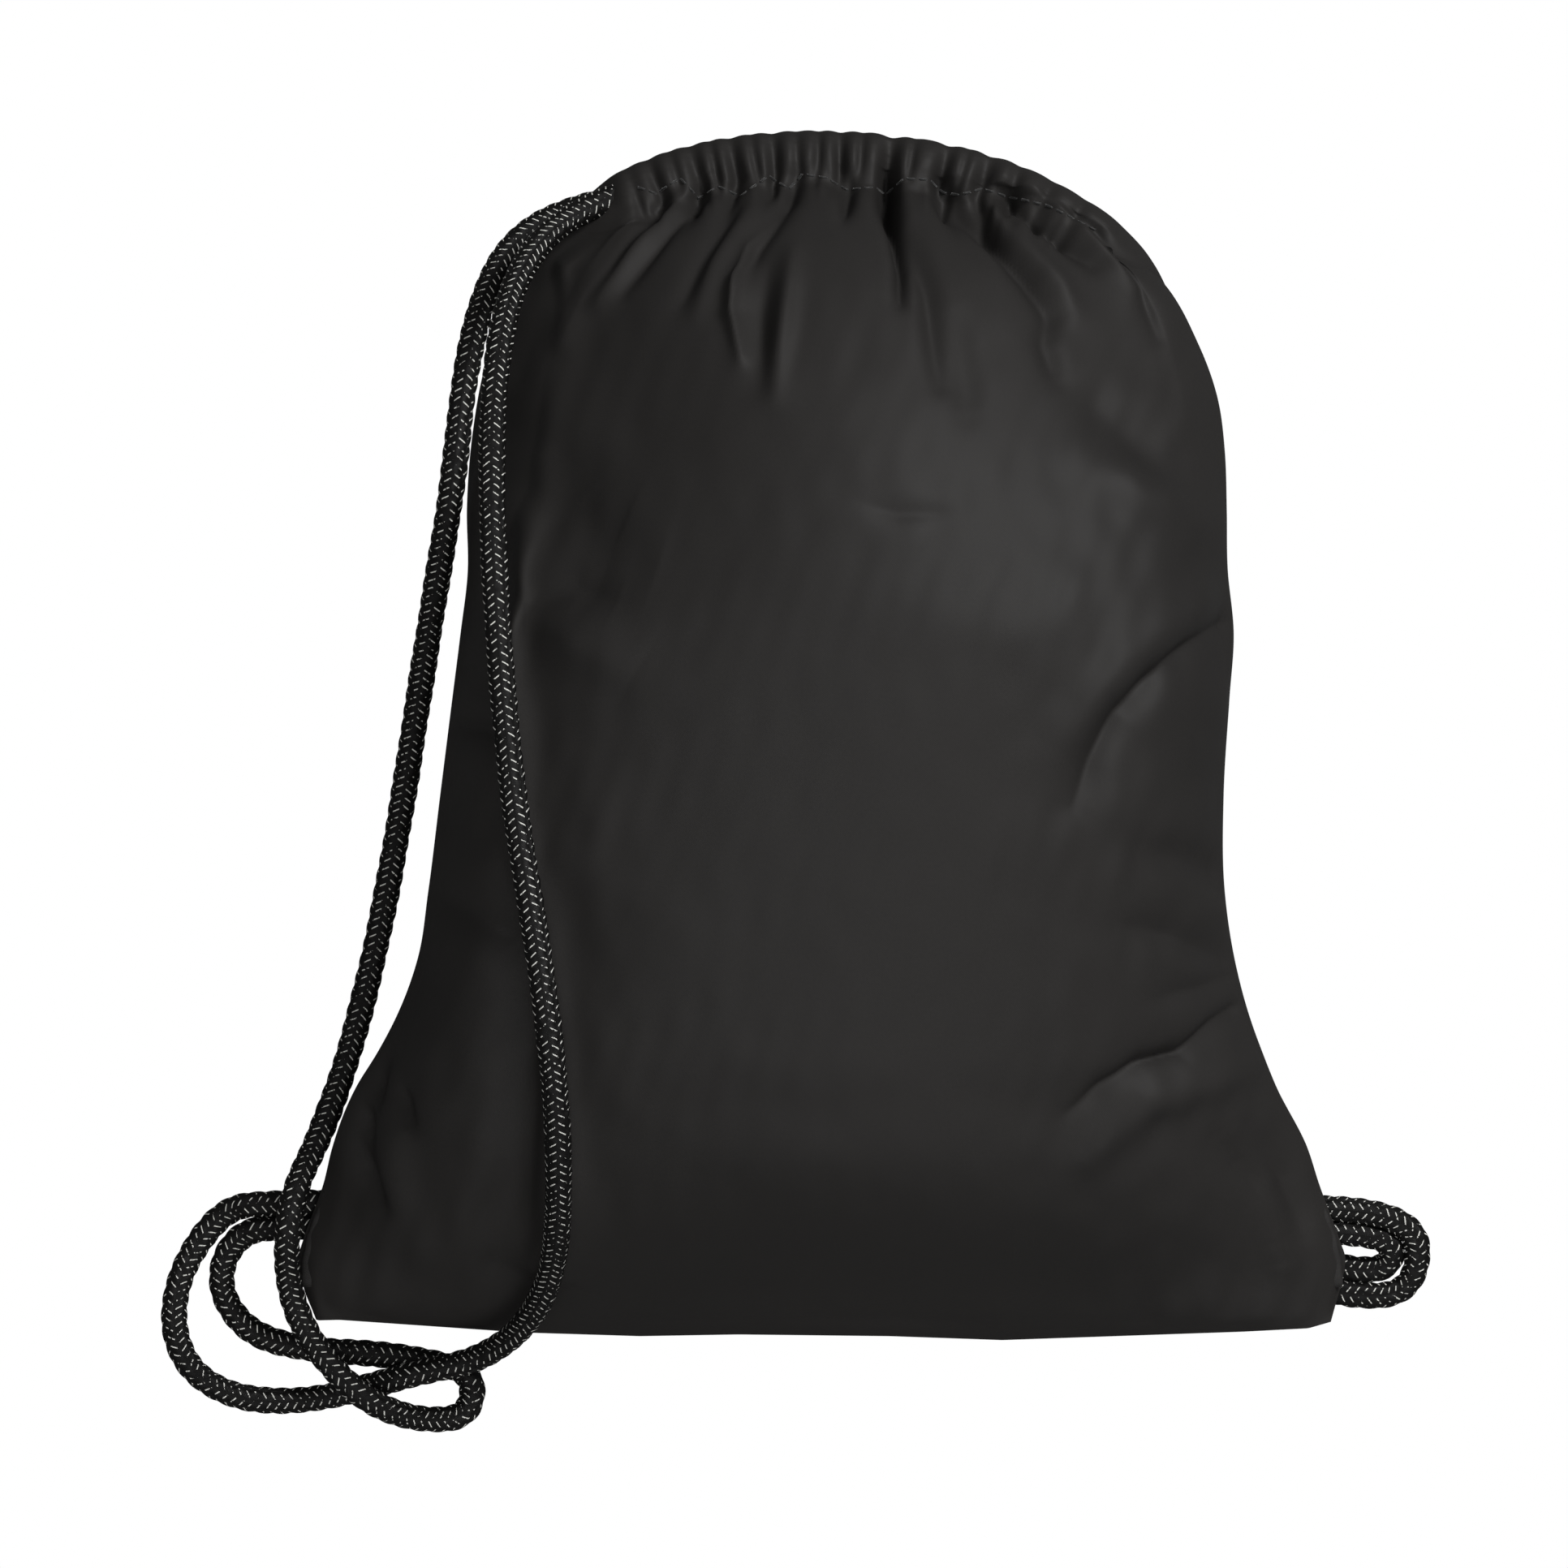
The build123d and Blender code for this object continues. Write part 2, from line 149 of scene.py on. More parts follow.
# Folds on the front: depth (negative raises a ridge), half-width, sharpness, and the line it follows
FOLDS = [
    (3.2, 2.8, 1.6, [(22.6, 200), (23.7, 191), (27.6, 165.4), (26.9, 151)]),
    (1.7, 4.2, 1.8, [(30, 176), (36.5, 155), (40.3, 122)]),
    (3.3, 4.2, 1.6, [(42, 200), (46, 190), (59.5, 177), (72, 161.6), (80, 147.6)]),
    (-1.6, 4.2, 1.8, [(52, 190), (68, 172), (82, 158), (88, 148)]),
    (3.3, 4.0, 1.6, [(58, 202), (63.3, 193.5), (78.6, 183.3), (95, 166.7)]),
    (-1.7, 2.8, 1.5, [(74.8, 193.5), (87.5, 182), (109, 158)]),
    (1.2, 3.0, 1.6, [(84, 190), (97, 178), (112, 158), (118, 140)]),
    (1.3, 4.0, 1.8, [(79.9, 147), (78, 137), (82, 124)]),
    (2.4, 3.4, 1.6, [(-8, 200), (-12, 189.7), (-23.4, 171.8), (-28, 162)]),
    (-1.9, 2.2, 1.3, [(-14.5, 185.8), (-26, 170.5), (-30.5, 157.8), (-31.7, 146.3), (-28.6, 129.7)]),
    (-1.3, 3.8, 1.8, [(-10.7, 168), (-13.2, 147.6), (-17, 117)]),
    (1.2, 4.5, 1.8, [(-19, 166), (-22, 147), (-22, 122)]),
    (2.0, 3.0, 1.6, [(10, 198), (9.7, 194), (7, 182)]),
    (1.5, 2.8, 1.5, [(-40, 199), (-44, 192), (-55, 177), (-70.6, 155)]),
    (-1.6, 3.4, 1.6, [(-49, 191), (-62, 174), (-78, 152)]),
    (1.6, 4.0, 1.7, [(-53, 196), (-66, 176), (-84, 150)]),
    (-1.5, 4.5, 1.8, [(-59, 191), (-71, 171), (-84, 152), (-90, 138)]),
    (1.2, 3.4, 1.6, [(-30, 186), (-40, 170), (-50, 150)]),
    (-1.1, 4.0, 1.8, [(-24, 186), (-38, 164), (-44, 146)]),
    (1.0, 6.0, 2.0, [(44, 150), (48, 132), (50, 112)]),
    # right side
    (3.0, 6.0, 1.3, [(87, -24), (94, -8), (103, 8), (121, 25), (148, 43)]),
    (-1.8, 9.0, 2.0, [(80, -6), (92, 10), (108, 26), (128, 40)]),
    (2.6, 4.0, 1.2, [(86, -132), (98, -123), (112, -115), (127, -111), (140, -100), (151, -92)]),
    (-1.5, 7.0, 2.0, [(92, -146), (112, -128), (134, -122), (152, -116)]),
    (1.4, 7.0, 2.0, [(112, -40), (130, -44), (146, -54)]),
    (1.4, 6.0, 1.6, [(104, -66), (124, -70), (144, -80)]),
    (1.2, 5.0, 1.5, [(116, -92), (134, -88), (147, -84)]),
    (1.5, 6.0, 1.6, [(140, -142), (152, -158), (160, -176)]),
    (1.2, 5.0, 1.6, [(152, -138), (164, -156), (171, -176)]),
    (-1.4, 6.0, 2.0, [(146, -150), (156, -168), (163, -186)]),
    (1.3, 9.0, 1.8, [(88, 122), (106, 106), (124, 88)]),
    (-1.4, 10.0, 2.0, [(92, 96), (112, 84), (134, 72)]),
    # middle and left
    (0.5, 3.6, 1.4, [(13, 79), (26, 76), (42, 76)]),
    (2.6, 17.0, 2.0, [(-103, 98), (-92, 78), (-76, 64), (-58, 58)]),
    (-1.6, 12.0, 2.0, [(-104, 40), (-84, 34), (-64, 22)]),
    (2.0, 8.0, 1.6, [(-104, 46), (-88, 50), (-72, 46)]),
    (1.8, 5.0, 1.4, [(-130, 4), (-118, 2), (-110, -4)]),
    (1.6, 6.0, 1.6, [(-136, -56), (-126, -62), (-112, -72)]),
    (2.0, 3.2, 1.3, [(-155, -106), (-158, -118), (-157.6, -130)]),
    (1.8, 3.0, 1.4, [(-163.6, -129), (-162, -137), (-161, -144)]),
    (1.6, 3.0, 1.4, [(-150, -122), (-147, -131), (-144, -138)]),
    (2.0, 4.0, 1.4, [(-166, -142), (-162, -153), (-154, -166)]),
    (-1.4, 7.0, 2.0, [(-150, -136), (-152, -156), (-148, -176)]),
    (3.6, 10.0, 2.2, [(-107, -30), (-108, -70), (-106, -110), (-107, -150), (-112, -184)]),
    (1.2, 16.0, 2.0, [(-70, -196), (20, -200), (120, -196)]),
]

GATHER_GAIN, FOLD_GAIN = 1.6, 2.7  # both tables' depths are raised by these
GATHER_OUT = HEM_MID + 9  # gathers are measured inwards from this radius
GATHER_START = 12  # they drift and widen from this far in
GATHERS_FROM, GATHERS_FULL = -25, -21  # bearings over which the gathers come in
GATHERS_FADE, GATHERS_TO = 29, 34  # and go out
PUCKERS = 171  # fine puckers to a full turn, between the named gathers
PUCKER_WANDER, PUCKER_HEIGHT = 1.4, 0.3
PUCKER_IN, PUCKER_SPREAD = 13, 7.0  # how far in they are deepest, and how fast they fade from there
PAST_RIM = 0.12  # share of the gathers left inside the mouth
FADE_ROWS = 17  # they fade over this many rows before the rim
BACK_GATHERS = 0.32  # share of the gathers on the underside
FOLDS_KEPT, FOLDS_GONE = 2, 12  # rows into the hem over which the front's folds fade out

# Crumple: height, size and seed of each soft noise
BIG_CRUMPLE = (0.9, 46, 3)
SMALL_CRUMPLE = (0.4, 17, 4)
SMALL_CRUMPLE_SQUEEZE = 1.3
BACK_CRUMPLE = (0.3, 30, 5)
CALM_MIDDLE = 0.35  # share of the front's crumple left in its middle
CALM_TO, CRUMPLED_FROM = 40, 130  # distances from the middle between which it comes back

# Edges of the panels
EDGE_SHARE, EDGE_ROWS = 0.035, 7  # folds fade out this near the side seams and the bottom seam
BACK_SAG, BACK_SAG_ABOVE = 0.5, 6  # the filling lowers the underside this far, where it is this high
BACK_FLOOR_GAP = 0.4
MERGE_DISTANCE, FLAT_DISTANCE = 2e-5, 1e-6  # metres

# Stitch line through the front hem: bearing and radius of its turns
STITCHING = [(-21.5, 180), (-19.8, 175.5), (-16.6, 178), (-15.2, 169.5), (-12.5, 171.5), (-10.1, 166.5),
             (-6.5, 172.5), (-4.3, 167), (-2.6, 172), (0.2, 170.5), (2.8, 166.5), (6.3, 168), (7.5, 166.5),
             (9.4, 172.5), (12.3, 174), (14.3, 171), (16.3, 171.5), (18.4, 176), (21, 176.5), (26, 179),
             (33, 180)]
DASH, DASH_GAP, THREAD = 3.0, 1.3, 0.32  # stitch length, gap between stitches, thread radius
STITCH_RINGS, STITCH_SIDES = 5, 6  # cross-sections along a stitch, and sides of each
STITCH_FLATNESS = 1.2  # a stitch is this much wider than high
STITCH_UP, STITCH_DOWN = 1.0, -0.6  # its height in thread radii, and where its ends go in
LOOK_AHEAD = 0.5  # how far ahead a stitch's direction is taken from
RAY_START = 0.3  # metres, above everything

# ---- Cords ----
CORD_WIDE, CORD_THICK = 9.0, 7.0  # a soft braid lies a little flattened
PLAIT = 3.1  # length of one plait along the braid
PLAIT_COLUMNS = 8  # plaits round it
PLAIT_RELIEF = 0.055  # share of the radius
SWELL, SWELL_LENGTH = 0.02, 41  # and of a slow change in thickness
BRAID_STEP, BRAID_SIDES = 0.75, 32  # distance between the braid's cross-sections, and their sides
BRAID_FLOOR_GAP = 0.2

# ---- Seat of the left inner strand on the front ----
SEAT_Z, SEAT_X = 60, -128  # the strand lies on the front where it is above and right of these
SEAT_EVERY = 4  # one point in four is enough
SEAT_REACH = 30  # cloth further beyond the strand is left alone
SEAT_GAP = 0.2  # between cloth and cord
SEAT_SPREAD = 13.0  # how wide the cloth is drawn along
SEAT_NEAR, SEAT_FAR = 8, 16  # cloth nearer than the first is drawn fully, beyond the second not
UNDER_WIDTH, UNDER_FLAT = 9, 3.0  # cloth in this width stays under the cord, flat below its middle
SEAT_PARTS = 12  # split to save memory


def arch_point(bearing, radius, z):
    """Point on a circle about the arch's centre, bearings clockwise from +Y."""
    return (ARCH[0] + radius * sin(radians(bearing)), ARCH[1] + radius * cos(radians(bearing)), z)


# each loose strand's route, from the mouth's end to its sewn-in end
ROUTES = {
    "left_cord_inner_strand": [
        arch_point(LEFT_END, HEM_MID + LANE, FRONT_HEM_Z), (-88, 184.5, 42), (-102, 171, 62),
        (-111, 150, 82), (-115, 117, 98), (-115, 80, 109), (-113, 42, 115), (-110, 5, 117), (-106, -30, 119),
        (-100, -65, 119), (-95, -100, 115), (-92, -135, 105), (-92, -165, 88), (-95, -190, 60),
        (-105, -209, 36), (-121, -221, 19), (-137, -225, 15.5), (-150, -228, 14), (-162, -232, 5),
        (-178, -236, 4), (-195, -237.5, 4), (-212, -235, 4), (-226, -226, 4), (-232, -211, 4),
        (-230, -194, 4), (-222, -179, 4), (-212, -168.5, 5), (-200, -166, 13.2), (-176, -166, 13.2)],
    "left_cord_outer_strand": [
        arch_point(LEFT_END, HEM_MID + LANE, BACK_HEM_Z), (-90, 187.5, 17), (-107, 178, 28),
        (-119, 159, 44), (-126, 127, 58), (-130, 88, 57), (-137, 50, 40), (-144, 10, 20), (-151, -32, 6),
        (-159, -75, 4), (-169, -115, 6), (-179, -143, 16), (-187, -160, 28), (-190, -177, 29),
        (-190, -194, 20), (-185, -210, 16), (-175, -224, 18), (-161, -237, 18), (-144, -244, 6),
        (-126, -243, 4), (-124, -227, 4), (-142, -222.5, 4), (-161, -220, 4), (-182, -219, 4),
        (-203, -214, 4), (-214, -201, 4), (-214.5, -188, 4), (-208, -178, 5), (-198, -174.5, 11.6),
        (-176, -174.5, 11.6)],
    "right_cord_inner_strand": [
        arch_point(RIGHT_END, HEM_MID - LANE, BACK_HEM_Z), (106, 162.5, 12), (117, 149, 6), (125, 128, 4),
        (129, 101, 4), (76, 91, 4), (76, 49, 4), (133, 39, 4), (133, -4, 4), (77, -14, 4),
        (78, -57, 4), (131, -66, 4), (131, -94, 4), (90, -104, 4), (92, -149, 4), (130, -162, 4),
        (158, -187, 4), (182, -199.5, 4), (212, -199.5, 4), (212, -168, 12.9), (176, -168, 12.9)],
    "right_cord_outer_strand": [
        arch_point(RIGHT_END, HEM_MID - LANE, FRONT_HEM_Z), (109, 167, 29), (120, 151, 20),
        (126, 128, 13.5), (129, 101, 12.6), (76, 91, 12.6), (76, 49, 12.6), (133, 39, 12.6), (133, -4, 12.6),
        (77, -14, 12.6), (78, -57, 12.6), (133, -66, 12.6), (138, -84, 8), (137, -104, 4),
        (100, -113, 4), (101, -141, 4), (137, -153, 4), (163, -177, 4), (183, -190, 4),
        (203, -190.5, 4), (203, -176.5, 11.2), (176, -176.5, 11.2)],
}


# ---- Small helpers ----
def smoothstep(x, low, high):
    """0 below low, 1 above high, and a smooth rise between."""
    t = np.clip((x - low) / (high - low), 0, 1)
    return t * t * (3 - 2 * t)


def plateau(x, low, low_full, high_full, high):
    """1 between the two full places, falling smoothly to 0 at low and at high."""
    return smoothstep(x, low, low_full) * (1 - smoothstep(x, high_full, high))


def curve_through(table, at):
    """Smooth curve through a table's rows at the given places: a column for each of the table's."""
    x, y = table[:, 0], table[:, 1:]
    slope = np.gradient(y, x, axis=0)
    i = np.clip(np.searchsorted(x, at) - 1, 0, len(x) - 2)
    h = (x[i + 1] - x[i])[:, None]
    t = np.clip((at - x[i]) / h[:, 0], 0, 1)[:, None]
    return ((1 + 2 * t) * (1 - t) ** 2 * y[i] + t * (1 - t) ** 2 * h * slope[i]
            + t * t * (3 - 2 * t) * y[i + 1] + t * t * (t - 1) * h * slope[i + 1])


def distance_to_line(points, line):
    """Distance in plan from each point to a polyline, and how far along it the nearest place is, 0 to 1."""
    line = np.array(line, float)
    legs = np.linalg.norm(np.diff(line, axis=0), axis=1)
    before = np.concatenate([[0], np.cumsum(legs)])
    best = np.full(len(points), 1e9)
    along = np.zeros(len(points))
    for a, b, start, leg in zip(line, line[1:], before, legs):
        t = np.clip((points - a) @ (b - a) / leg ** 2, 0, 1)
        d = np.linalg.norm(points - a - t[:, None] * (b - a), axis=1)
        near = d < best
        best[near] = d[near]
        along[near] = (start + t[near] * leg) / before[-1]
    return best, along


def smooth_noise(x, y, scale, seed):
    """Soft random height field in plan, about -1 to 1, from a few dozen waves."""
    rng = np.random.default_rng(seed)
    total = np.zeros_like(x)
    for _ in range(24):
        heading, phase = rng.uniform(0, 2 * pi, 2)
        size = scale * rng.uniform(0.7, 1.6)
        total += np.sin(2 * pi * (x * cos(heading) + y * sin(heading)) / size + phase)
    return total / 6


def mesh_object(name, points, faces, uvs=None, material=None, smooth=True):
    """Mesh object from points in millimetres; uvs has one pair for each point."""
    mesh = bpy.data.meshes.new(name)
    mesh.from_pydata((np.asarray(points) * MM).tolist(), [], [tuple(map(int, f)) for f in faces])
    if uvs is not None:
        layer = mesh.uv_layers.new(name="UVMap")
        corners = np.zeros(len(mesh.loops), np.int32)
        mesh.loops.foreach_get("vertex_index", corners)
        layer.data.foreach_set("uv", np.asarray(uvs, np.float32)[corners].ravel())
    if smooth:
        mesh.polygons.foreach_set("use_smooth", [True] * len(mesh.polygons))
    mesh.update()
    obj = bpy.data.objects.new(name, mesh)
    bpy.context.scene.collection.objects.link(obj)
    if material:
        mesh.materials.append(material)
    return obj


def grid_faces(rows, columns, flip=False):
    """Four-sided faces over a grid of points."""
    i = np.arange(rows - 1)[:, None] * columns + np.arange(columns - 1)[None, :]
    i = i.ravel()
    quads = np.stack([i, i + 1, i + 1 + columns, i + columns], axis=1)
    return quads[:, ::-1] if flip else quads


# ---- Materials ----
def new_material(name, color, roughness, sheen, specular):
    material = bpy.data.materials.new(name)
    material.use_nodes = True
    tree = material.node_tree
    shader = tree.nodes["Principled BSDF"]
    shader.inputs["Base Color"].default_value = (*color, 1)
    shader.inputs["Roughness"].default_value = roughness
    shader.inputs["Sheen Weight"].default_value = sheen
    shader.inputs["Sheen Roughness"].default_value = 0.45
    shader.inputs["Specular IOR Level"].default_value = specular
    return material, tree, shader


def node(tree, kind, inputs=(), **settings):
    """New node; an input is given a value, or a link where it is another node's socket."""
    made = tree.nodes.new(kind)
    for key, value in settings.items():
        setattr(made, key, value)
    for key, value in dict(inputs).items():
        if isinstance(value, bpy.types.NodeSocket):
            tree.links.new(value, made.inputs[key])
        else:
            made.inputs[key].default_value = value
    return made


def maths(tree, operation, a, b=0.0, c=0.0):
    return node(tree, "ShaderNodeMath", {0: a, 1: b, 2: c}, operation=operation).outputs[0]


def mix_colors(tree, share, a, b):
    return node(tree, "ShaderNodeMix", {0: share, 6: a, 7: b}, data_type="RGBA").outputs[2]


def woven_material(name, dark, light, roughness, sheen, specular, weave, relief):
    """Thin woven cloth. Its UV map is in metres of cloth; weave is the pitch of its threads."""
    material, tree, shader = new_material(name, dark, roughness, sheen, specular)
    place = node(tree, "ShaderNodeTexCoord")
    uv = place.outputs["UV"]
    cloud = node(tree, "ShaderNodeTexNoise",
                 {"Vector": place.outputs["Object"], "Scale": 9.0, "Detail": 4.0})
    grain = node(tree, "ShaderNodeTexNoise", {"Vector": uv, "Scale": 900.0, "Detail": 2.0})
    share = maths(tree, "MULTIPLY_ADD", grain.outputs["Fac"], 0.55,
                  maths(tree, "MULTIPLY_ADD", cloud.outputs["Fac"], 0.9, -0.25))
    color = mix_colors(tree, share, (*dark, 1), (*light, 1))
    tree.links.new(color, shader.inputs["Base Color"])
    rough = maths(tree, "MULTIPLY_ADD", cloud.outputs["Fac"], 0.16, roughness - 0.08)
    tree.links.new(rough, shader.inputs["Roughness"])
    split = node(tree, "ShaderNodeSeparateXYZ", {0: uv})
    turns = 2 * pi / weave
    warp = maths(tree, "SINE", maths(tree, "MULTIPLY", split.outputs[0], turns))
    weft = maths(tree, "SINE", maths(tree, "MULTIPLY", split.outputs[1], turns))
    height = maths(tree, "MULTIPLY_ADD", maths(tree, "MULTIPLY", warp, weft), 0.5,
                   maths(tree, "MULTIPLY", grain.outputs["Fac"], 1.2))
    bump = node(tree, "ShaderNodeBump", {"Height": height, "Strength": relief, "Distance": 0.0002})
    tree.links.new(bump.outputs[0], shader.inputs["Normal"])
    return material


def braid_material():
    """Black braid with short pale flecks in columns. UV: plaits along, columns around."""
    material, tree, shader = new_material("braided_cord", (0.003, 0.003, 0.003), 0.5, 0.0, 0.12)
    uv = node(tree, "ShaderNodeTexCoord").outputs["UV"]
    split = node(tree, "ShaderNodeSeparateXYZ", {0: uv})
    along, around = split.outputs[0], split.outputs[1]
    column = maths(tree, "FLOOR", around)
    odd = maths(tree, "MODULO", column, 2.0)
    across = maths(tree, "SUBTRACT", maths(tree, "FRACT", around), 0.5)
    # each column's flecks sit half a plait on from its neighbour's and lean the other way
    lean = maths(tree, "MULTIPLY", across, maths(tree, "MULTIPLY_ADD", odd, 1.5, -0.75))
    offset = maths(tree, "ADD", along, maths(tree, "MULTIPLY", odd, 0.5))
    step = maths(tree, "FRACT", maths(tree, "ADD", offset, lean))
    near = maths(tree, "ABSOLUTE", maths(tree, "SUBTRACT", step, 0.5))
    thin = maths(tree, "LESS_THAN", near, 0.075)
    short = maths(tree, "LESS_THAN", maths(tree, "ABSOLUTE", across), 0.33)
    grain = node(tree, "ShaderNodeTexNoise", {"Vector": uv, "Scale": 2.3, "Detail": 3.0})
    patchy = maths(tree, "GREATER_THAN", grain.outputs["Fac"], 0.47)
    fleck = maths(tree, "MULTIPLY", maths(tree, "MULTIPLY", thin, short), patchy)
    shade = mix_colors(tree, grain.outputs["Fac"], (0.001, 0.001, 0.001, 1), (0.004, 0.0038, 0.0036, 1))
    color = mix_colors(tree, fleck, shade, (0.50, 0.50, 0.47, 1))
    tree.links.new(color, shader.inputs["Base Color"])
    fine = maths(tree, "SINE", maths(tree, "MULTIPLY", maths(tree, "ADD", along, lean), 2 * pi * 6))
    bump = node(tree, "ShaderNodeBump", {"Height": fine, "Strength": 0.35, "Distance": 0.0002})
    tree.links.new(bump.outputs[0], shader.inputs["Normal"])
    return material


FABRIC = woven_material("taffeta", dark=(0.0122, 0.0115, 0.0110), light=(0.0180, 0.0169, 0.0162),
                        roughness=0.58, sheen=0.0, specular=0.11, weave=0.0006, relief=0.10)
TAB_CLOTH = woven_material("tab_cloth", dark=(0.013, 0.0124, 0.012), light=(0.022, 0.021, 0.0205),
                           roughness=0.7, sheen=0.0, specular=0.12, weave=0.0008, relief=0.3)
THREAD_LOOK = woven_material("stitching_thread", dark=(0.008, 0.008, 0.008), light=(0.02, 0.02, 0.02),
                             roughness=0.6, sheen=0.2, specular=0.3, weave=0.0004, relief=0.4)
BRAID = braid_material()

# ---- Camera: straight down on the bag ----
CAMERA_LENS = 225  # millimetres
CAMERA_PLACE = (-0.0137, -0.0170, 3.5)  # metres
CAMERA_SIGHT = 20
camera_data = bpy.data.cameras.new("camera")
camera_data.lens = CAMERA_LENS
camera_data.clip_end = CAMERA_SIGHT
camera = bpy.data.objects.new("camera", camera_data)
camera.location = CAMERA_PLACE
bpy.context.scene.collection.objects.link(camera)
bpy.context.scene.camera = camera


# ---- Cords ----
def smooth_route(name, route):
    """Points of the route's NURBS curve, in millimetres."""
    data = bpy.data.curves.new(name + "_route", "CURVE")
    data.dimensions = "3D"
    data.resolution_u = 16
    spline = data.splines.new("NURBS")
    spline.points.add(len(route) - 1)
    for point, place in zip(spline.points, route):
        point.co = (*(c * MM for c in place), 1)
    spline.order_u = 3
    spline.use_endpoint_u = True
    carrier = bpy.data.objects.new(name + "_route", data)
    mesh = bpy.data.meshes.new_from_object(carrier)
    points = np.array([v.co for v in mesh.vertices], float) / MM
    bpy.data.objects.remove(carrier)
    bpy.data.meshes.remove(mesh)
    bpy.data.curves.remove(data)
    return points


def braid(name, route):
    """Braided cord along a route: a slightly flattened tube whose plaits cross both ways."""
    line = smooth_route(name, route)
    legs = np.linalg.norm(np.diff(line, axis=0), axis=1)
    reach = np.concatenate([[0], np.cumsum(legs)])
    around = BRAID_SIDES
    count = int(reach[-1] / BRAID_STEP)
    s = np.linspace(0, reach[-1], count)
    centre = np.stack([np.interp(s, reach, line[:, k]) for k in range(3)], axis=1)
    ahead = np.gradient(centre, axis=0)
    ahead /= np.linalg.norm(ahead, axis=1)[:, None]
    side = np.cross(ahead, (0, 0, 1.0))
    side /= np.linalg.norm(side, axis=1)[:, None] + 1e-9
    up = np.cross(side, ahead)
    angle = np.linspace(0, 2 * pi, around, endpoint=False)
    twist = pi / PLAIT
    plait = np.maximum(np.cos(PLAIT_COLUMNS / 2 * angle[None, :] + twist * s[:, None]),
                       np.cos(PLAIT_COLUMNS / 2 * angle[None, :] - twist * s[:, None]))
    swell = 1 + PLAIT_RELIEF * plait + SWELL * np.sin(2 * pi * s / SWELL_LENGTH)[:, None]
    wide = (CORD_WIDE / 2 * np.cos(angle))[None, :] * swell
    thick = (CORD_THICK / 2 * np.sin(angle))[None, :] * swell
    points = centre[:, None] + wide[..., None] * side[:, None] + thick[..., None] * up[:, None]
    points[..., 2] = np.maximum(points[..., 2], BRAID_FLOOR_GAP)
    flat = points.reshape(-1, 3)
    ring = np.arange(around)
    faces = []
    for i in range(count - 1):
        a = i * around
        following = (ring + 1) % around
        faces.append(np.stack([a + ring, a + following, a + around + following, a + around + ring], axis=1))
    faces = np.concatenate(faces)
    caps = [tuple(range(around))[::-1], tuple((count - 1) * around + k for k in range(around))]
    obj = mesh_object(name, flat, [tuple(f) for f in faces] + caps, material=BRAID)
    layer = obj.data.uv_layers.new(name="UVMap")
    uv = np.zeros((len(obj.data.loops), 2), np.float32)
    quad_rings = np.repeat(np.arange(count - 1), around)
    quad_columns = np.tile(ring, count - 1)
    corner_u = np.stack([s[quad_rings], s[quad_rings], s[quad_rings + 1], s[quad_rings + 1]], axis=1)
    corner_v = np.stack([quad_columns, quad_columns + 1, quad_columns + 1, quad_columns], axis=1)
    # the corners' own map closes round the braid without a strip of stretched faces
    corner_u = corner_u / PLAIT
    corner_v = corner_v / around * PLAIT_COLUMNS
    uv[:len(faces) * 4, 0] = corner_u.ravel()
    uv[:len(faces) * 4, 1] = corner_v.ravel()
    layer.data.foreach_set("uv", uv.ravel())
    return obj, centre


STRAND_LINES = {}
for name, route in ROUTES.items():
    piece, centre = braid(name + "_braid", route)
    STRAND_LINES[name] = centre
    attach(piece, "bag")
    tails = name.split("_")[0] + "_cord_tails"
    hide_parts(name, tails)


# ---- Bag: the two sheets as grids of points ----
def rim(bearing):
    """The rim's radius, the hem band's width, the band's share (0 to 1) and the mouth's (0 shut, 1 open)."""
    radius = curve_through(RIM, bearing)[:, 0]
    band = plateau(bearing, RIM_FIRST, LEFT_END - 1, RIGHT_END + 1, RIM_LAST)
    mouth = plateau(bearing, LEFT_END - MOUTH_END_BLEND, LEFT_END + MOUTH_END_BLEND,
                    RIGHT_END - MOUTH_END_BLEND, RIGHT_END + MOUTH_END_BLEND)
    # to the right the stitch line climbs, which leaves a narrower hem
    narrowed = 1 - HEM_NARROWING * smoothstep(bearing, NARROWS_FROM, NARROWS_TO)
    return radius, HEM_BAND * band * narrowed, band, mouth


